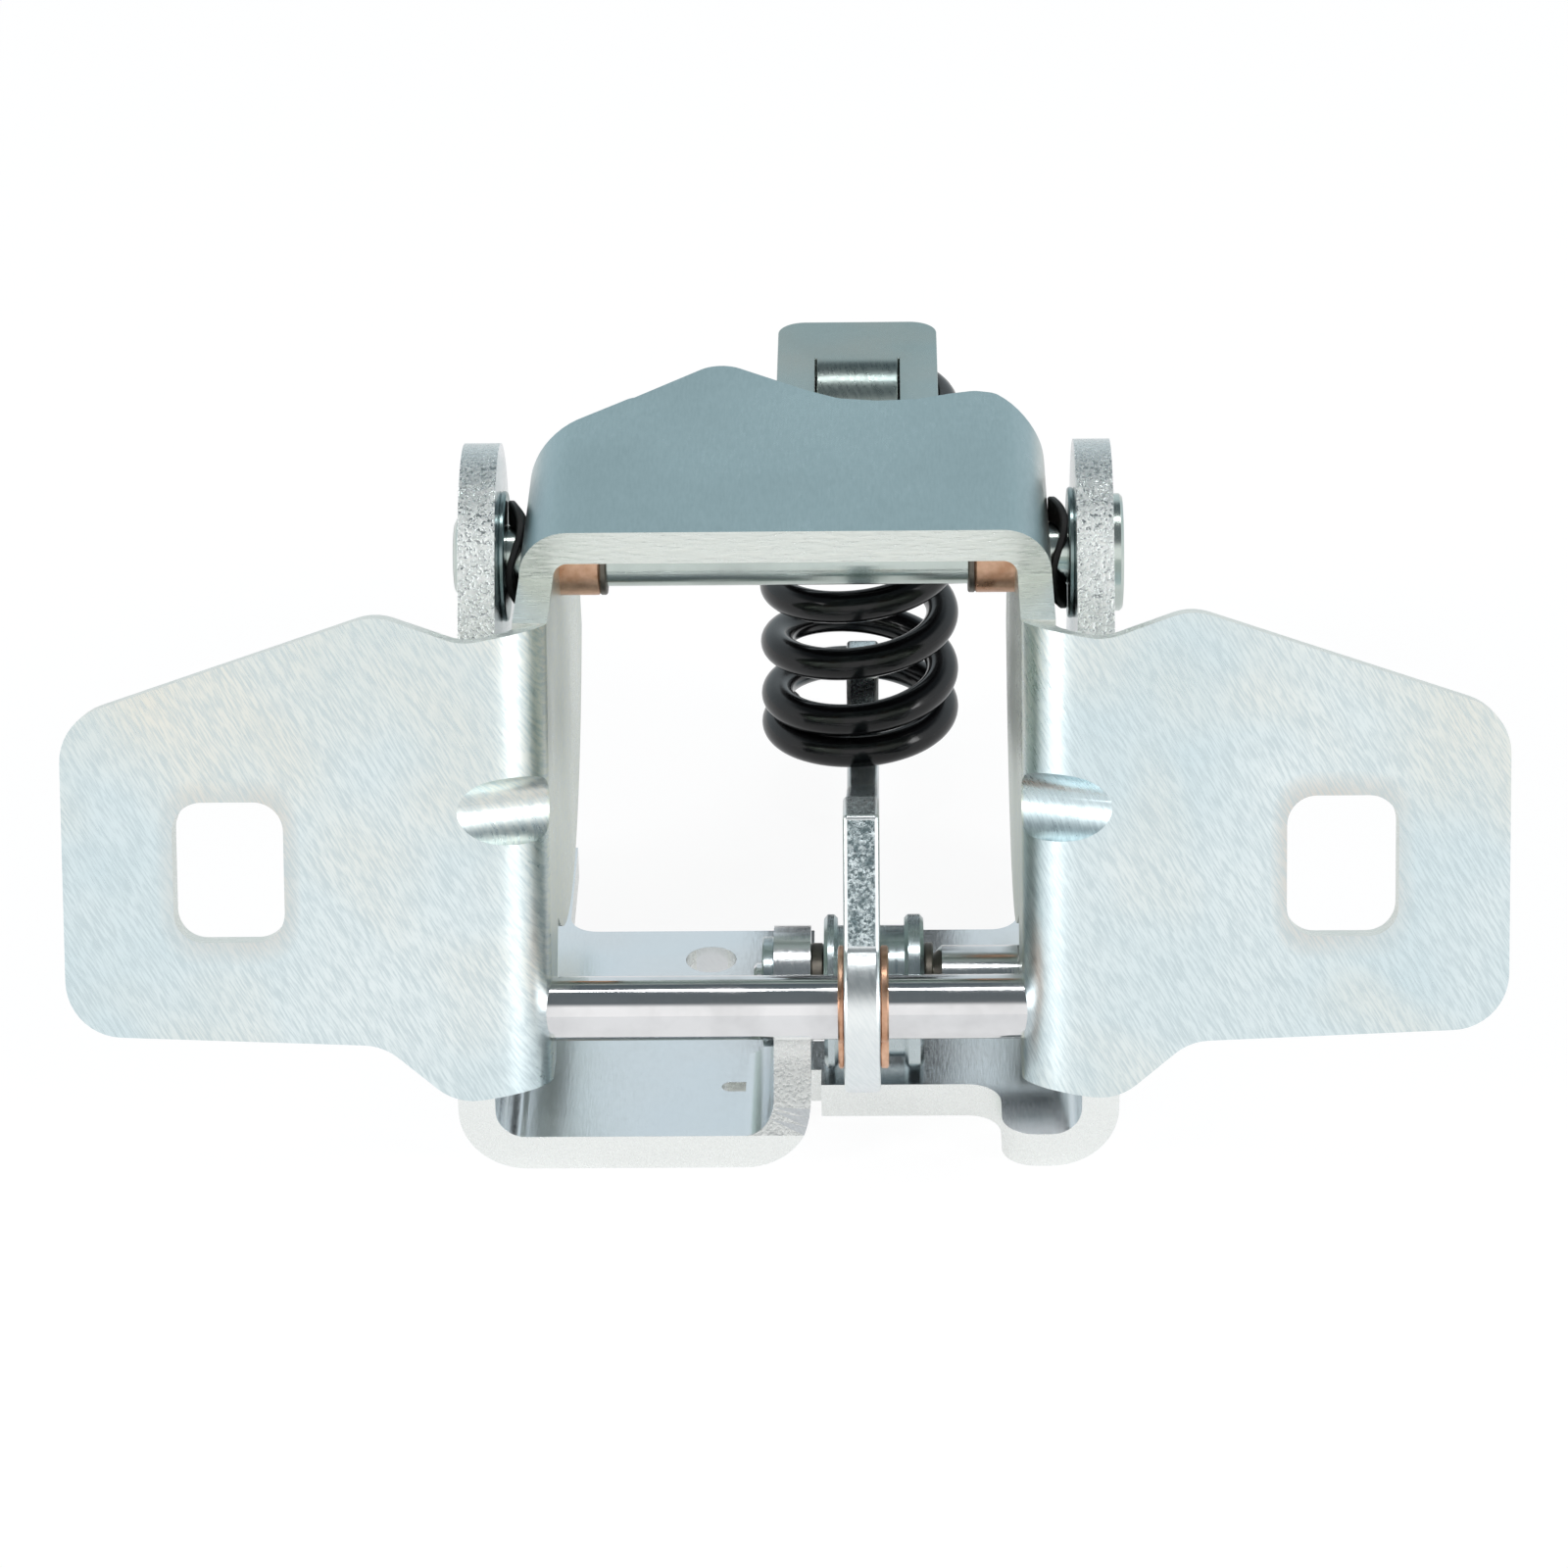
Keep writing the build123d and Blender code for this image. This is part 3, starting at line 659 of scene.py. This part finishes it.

# Bushes, seals and washers. Two bronze bushes in the cheeks turn on the pin, each with a dark
# ring at its inner end. Black waved washers take up the play between the cheeks and the rings in the
# ears, and dark washers and a clip hold the roller.


def plain_ring(node, body, slot, finish, hole, wave=0.0):
    """Washer or bush: a square section with its four corners broken. A wave makes it thinner by
    twice its height, so that its crests still reach both ends."""
    chamfer = 0.0002
    first, last, outer = span(node)
    first += wave
    last -= wave
    outline = [
        (first, hole + chamfer),
        (first, outer - chamfer),
        (first + chamfer, outer),
        (last - chamfer, outer),
        (last, outer - chamfer),
        (last, hole + chamfer),
        (last - chamfer, hole),
        (first + chamfer, hole),
    ]
    lathe(node + "_ring", node, body, slot, finish, outline, wave)


bronze = Paint("bush bronze", Metallic=1.0)
bronze_spots = bronze.ramp(bronze.noise(340.0, 4.0), (0.35, 0.0), (0.68, 1.0))
bronze.mottle(bronze_spots, (0.52, 0.27, 0.16, 1), (0.86, 0.56, 0.40, 1), 0.26, 0.18)
bronze.bump(bronze.noise(1600.0), 0.12, 0.0001)
dark_mottled = Paint("dark mottled steel", Metallic=1.0)
dark_mottled.mottle(dark_mottled.noise(420.0, 4.0), (0.05, 0.045, 0.04, 1), (0.30, 0.27, 0.23, 1), 0.28, 0.2)
black = Paint("black washer", Metallic=0.0)
black.mottle(black.noise(500.0), (0.008, 0.008, 0.008, 1), (0.035, 0.035, 0.034, 1), 0.42, 0.2)
ear_ring_finish = bright_steel("dark ring steel", (0.30, 0.38, 0.38, 1), 0.20, 0.3)
pin_hole = 0.00425
washer_wave = 0.0008
for side in ("left", "right"):
    plain_ring(f"pin_bush_{side}", "winged_leaf", "bronze", bronze.material, pin_hole)
    plain_ring(f"pin_seal_{side}", "winged_leaf", "dark_steel", dark_mottled.material, pin_hole)
    plain_ring(
        f"thrust_washer_{side}", "winged_leaf", "black_washer", black.material, pin_hole, washer_wave
    )
    plain_ring(f"ear_washer_{side}", "channel", "roller_steel", ear_ring_finish, pin_hole)
    plain_ring(f"roller_washer_{side}", "channel", "dark_steel", dark_mottled.material, bore)
plain_ring("axle_clip", "channel", "roller_steel", roller_finish, bore)

# Arm bush. Bronze strip rolled into the arm's bore and flared over both of its faces, so that bronze
# turns on the cross pin. The flares are dented on one side.
left, right, flare = span("arm_bush")
arm_left = 0.0076
arm_right = 0.0124
bush_out = 0.00555
bush_hole = 0.00435
lip_in = 0.0002
lip_under = 0.0003
# The bore opens out in a rounded mouth: how far in from the end, and how much wider than the hole
mouth = [(0.0, 0.0012), (0.0002, 0.0006), (0.0008, 0.0)]
lathe(
    "arm_bush_flared", "arm_bush", "check_arm", "bronze", bronze.material,
    [
        (left, flare - lip_under),
        (left + lip_in, flare),
        (arm_left - lip_in, flare),
        (arm_left, flare - lip_under),
        (arm_left, bush_out),
        (arm_right, bush_out),
        (arm_right, flare - lip_under),
        (arm_right + lip_in, flare),
        (right - lip_in, flare),
        (right, flare - lip_under),
        *((right - inward, bush_hole + wider) for inward, wider in mouth),
        *((left + inward, bush_hole + wider) for inward, wider in reversed(mouth)),
    ],
    dent=(math.radians(205), 0.25, 0.0026, bush_out),
)

# Check spring. Round oil-tempered wire wound cold, with both end coils closed down, and dipped in
# gloss black. It stands on the arm's shoulders and is held in by the seat's tongue.
low, high = (np.array(corner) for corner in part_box("check_spring"))
spring_axis = (low + high) / 2
wire = 0.0024
coil_radius = (high[0] - low[0]) / 2 - wire
foot = low[2] + wire
head_height = high[2] - wire
dead_turns = 1.25
live_turns = 4.45
total_turns = 2 * dead_turns + live_turns
dead_rise = 2 * wire * 1.01
start_angle = 2.5
sections = 900
turns = np.linspace(0.0, total_turns, sections)
# The wire's middle goes round the axis at the coil's radius. Its height grows with the turns by
# just over a wire's thickness a turn over the dead ends, and evenly over the live turns between.
knots = [0.0, dead_turns, dead_turns + live_turns, total_turns]
levels = [
    foot,
    foot + dead_turns * dead_rise,
    head_height - dead_turns * dead_rise,
    head_height,
]
heights = smoothed(np.interp(turns, knots, levels), 61)
angle = start_angle + 2 * np.pi * turns
line = np.stack(
    [
        spring_axis[0] + coil_radius * np.cos(angle),
        spring_axis[1] + coil_radius * np.sin(angle),
        heights,
    ],
    axis=-1,
)
# Each section is a circle square to that line, spanned by the way out from the axis and the way
# up. Its radius is a thousandth under the wire's, and falls to nothing along a quarter circle in the
# last three at either end.
tangent = np.gradient(line, axis=0)
tangent /= np.linalg.norm(tangent, axis=1, keepdims=True)
outward = np.stack([np.cos(angle), np.sin(angle), 0 * angle], axis=-1)
outward -= (outward * tangent).sum(1, keepdims=True) * tangent
outward /= np.linalg.norm(outward, axis=1, keepdims=True)
upward = np.cross(tangent, outward)
from_end = np.minimum(np.arange(sections), np.arange(sections)[::-1]) / 3.0
tapered = np.sqrt(np.clip(1 - np.clip(1 - from_end, 0, 1) ** 2, 0.0, 1.0))
thick = 0.999 * wire * tapered[:, None, None]
section_turn = np.linspace(0, 2 * np.pi, 28, endpoint=False)[None, :, None]
spring_points = (
    line[:, None, :]
    + thick * np.cos(section_turn) * outward[:, None, :]
    + thick * np.sin(section_turn) * upward[:, None, :]
)
lacquer = Paint("gloss black dip", Metallic=0.0, IOR=1.45)
lacquer.mottle(lacquer.noise(260.0), (0.002, 0.002, 0.003, 1), (0.006, 0.006, 0.007, 1), 0.10, 0.12)
lacquer.bump(lacquer.noise(700.0), 0.06, 0.0002)
spring_mesh = skin("check_spring_coil", spring_points, closed=False, crease_at=60)
spring = keep(
    "check_spring_coil", spring_mesh, "winged_leaf", "check_spring", "spring_black", lacquer.material
)
# The arm's lift: how far the arm rises under the spring's axis at the top of its range, and the share of
# the spring's height that would be left; the spring is not squashed by it
arm_joint = next(joint for joint in frame["joints"] if joint["name"] == "arm_pivot")
lift = math.tan(math.radians(arm_joint["range_deg"][1])) * (spring_axis[1] - arm_joint["pos_m"][1])
1 - lift / float(high[2] - low[2])
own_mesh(spring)

# Stage. A pale floor to stand on, soft daylight round it, and the photograph's own viewpoint. The
# floor glows to the camera and in reflections, so it looks nearly white and still keeps the shadow.
floor_mesh = bpy.data.meshes.new("studio_floor")
reach = 3.0
below = -0.0002
floor_mesh.from_pydata(
    [(-reach, -reach, below), (reach, -reach, below), (reach, reach, below), (-reach, reach, below)],
    [],
    [(0, 1, 2, 3)],
)
floor = bpy.data.objects.new("studio_floor", floor_mesh)
bpy.context.scene.collection.objects.link(floor)
floor_finish = bpy.data.materials.new("studio floor")
floor_mesh.materials.append(floor_finish)
ground = Nodes(floor_finish)
matt = ground.node("ShaderNodeBsdfDiffuse", {}, {"Color": (0.80, 0.80, 0.81, 1)})
glow = ground.node("ShaderNodeEmission", {}, {"Color": (1, 1, 1, 1), "Strength": 1.09})
seen = ground.node("ShaderNodeLightPath", {}, {}, "Is Camera Ray")
mirrored = ground.node("ShaderNodeLightPath", {}, {}, "Is Glossy Ray")
share = seen * 0.84 + mirrored * 0.55
blend = ground.node("ShaderNodeMixShader", {}, {0: share, 1: matt, 2: glow})
ground.show(blend, "Material Output", "Principled BSDF")

# Sky. Bright walls up to 34 degrees, a dark ceiling above 46, and a bluer wall behind the hinge. It
# lights the hinge and shows in its plate, and the camera itself sees plain white.
world = bpy.data.worlds.new("studio")
bpy.context.scene.world = world
sky = Nodes(world)
where = sky.node("ShaderNodeTexCoord", {}, {}, "Generated")
upright = sky.node("ShaderNodeSeparateXYZ", {}, {0: where}, "Z")
behind = sky.node("ShaderNodeSeparateXYZ", {}, {0: where}, "Y") * 0.5 + 0.5
ceiling_stops = [(0.56, (1.0, 1.0, 1.0, 1)), (0.72, (0.14, 0.16, 0.17, 1))]
rear_stops = [(0.25, (1.0, 1.0, 1.0, 1)), (0.80, (0.68, 0.76, 0.80, 1))]
ceiling = sky.node("ShaderNodeValToRGB", {"stops": ceiling_stops}, {"Fac": upright}, "Color")
rear_wall = sky.node("ShaderNodeValToRGB", {"stops": rear_stops}, {"Fac": behind}, "Color")
multiply = {"data_type": "RGBA", "blend_type": "MULTIPLY"}
walls = sky.node("ShaderNodeMix", multiply, {0: 1.0, 6: ceiling, 7: rear_wall}, 2)
room = sky.node("ShaderNodeBackground", {}, {"Color": walls, "Strength": 1.0})
white = sky.node("ShaderNodeBackground", {}, {"Color": (1, 1, 1, 1), "Strength": 1.1})
to_camera = sky.node("ShaderNodeLightPath", {}, {}, "Is Camera Ray")
backdrop = sky.node("ShaderNodeMixShader", {}, {0: to_camera, 1: room, 2: white})
sky.show(backdrop, "World Output", "Background")


def softbox(name, place, aim, size, watts):
    """Rectangular area light at a place, facing a point."""
    light = bpy.data.lights.new(name, "AREA")
    light.shape = "RECTANGLE"
    light.size, light.size_y = size
    light.energy = watts
    lamp = bpy.data.objects.new(name, light)
    bpy.context.scene.collection.objects.link(lamp)
    lamp.location = place
    lamp.rotation_euler = (Vector(aim) - Vector(place)).to_track_quat("-Z", "Y").to_euler()


# Two tall windows, one on either side of the front, and a narrow lamp over the roof
softbox("left window", place=(-0.80, -0.45, 0.45), aim=(0, 0, 0.04), size=(0.35, 0.6), watts=3.0)
softbox("right window", place=(0.80, -0.45, 0.45), aim=(0, 0, 0.04), size=(0.35, 0.6), watts=3.0)
softbox("overhead", place=(0.0, 0.05, 1.05), aim=(0, 0.03, 0.07), size=(0.30, 0.08), watts=1.0)

# Viewpoint. Worked out from the photograph: 740 mm from the hinge pin, looking down at 28 degrees
camera_data = bpy.data.cameras.new("viewpoint")
camera_data.sensor_width = 36.0
camera_data.lens = 123.9
camera = bpy.data.objects.new("viewpoint", camera_data)
bpy.context.scene.collection.objects.link(camera)
viewpoint = Vector((0.0127, -0.6703, 0.3887))
sight = Vector((-0.0180, 0.8816, -0.4716))
roll = math.radians(-0.93)
facing = sight.to_track_quat("-Z", "Y").to_matrix().to_4x4()
camera.matrix_world = Matrix.Translation(viewpoint) @ facing @ Matrix.Rotation(roll, 4, "Z")
bpy.context.scene.camera = camera
bpy.context.scene.view_settings.view_transform = "Standard"
